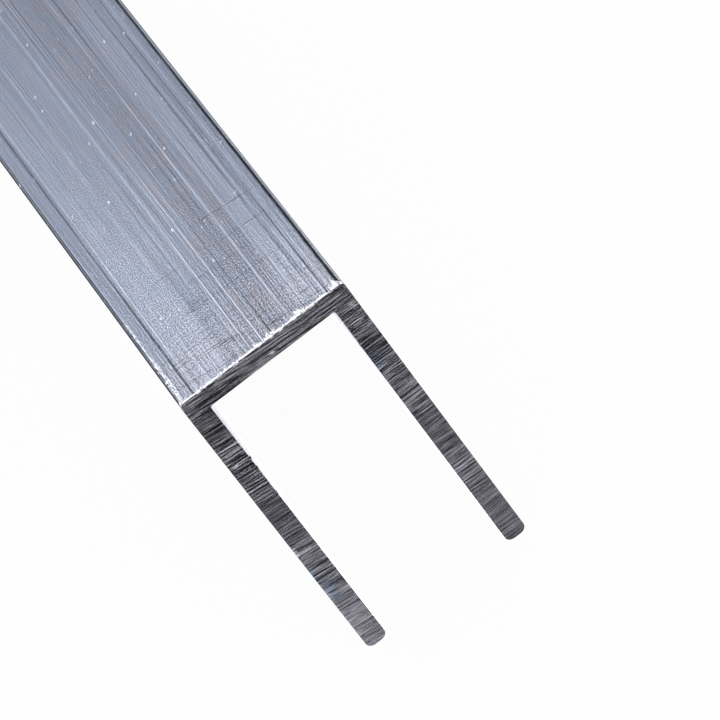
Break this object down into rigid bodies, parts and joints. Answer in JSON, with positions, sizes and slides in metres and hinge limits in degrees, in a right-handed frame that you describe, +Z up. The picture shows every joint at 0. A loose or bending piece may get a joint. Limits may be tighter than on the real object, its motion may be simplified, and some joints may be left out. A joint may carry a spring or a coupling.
{
  "type": "aluminium channel profile",
  "caption": "Straight length of extruded aluminium channel: a flat web with a long leg down each side, sawn square at both ends.",
  "frame": {"origin": "under the middle of the piece, level with the leg tips it stands on", "axes": "X along the length, Y across the web, +Z up from the leg tips to the web"},
  "size_m": [1, 0.025, 0.05],
  "materials": {
    "aluminium": "mill finish: die lines along the length, sawn ends"
  },
  "bodies": {
    "root": {"channel": "aluminium"}
  },
  "joints": []
}
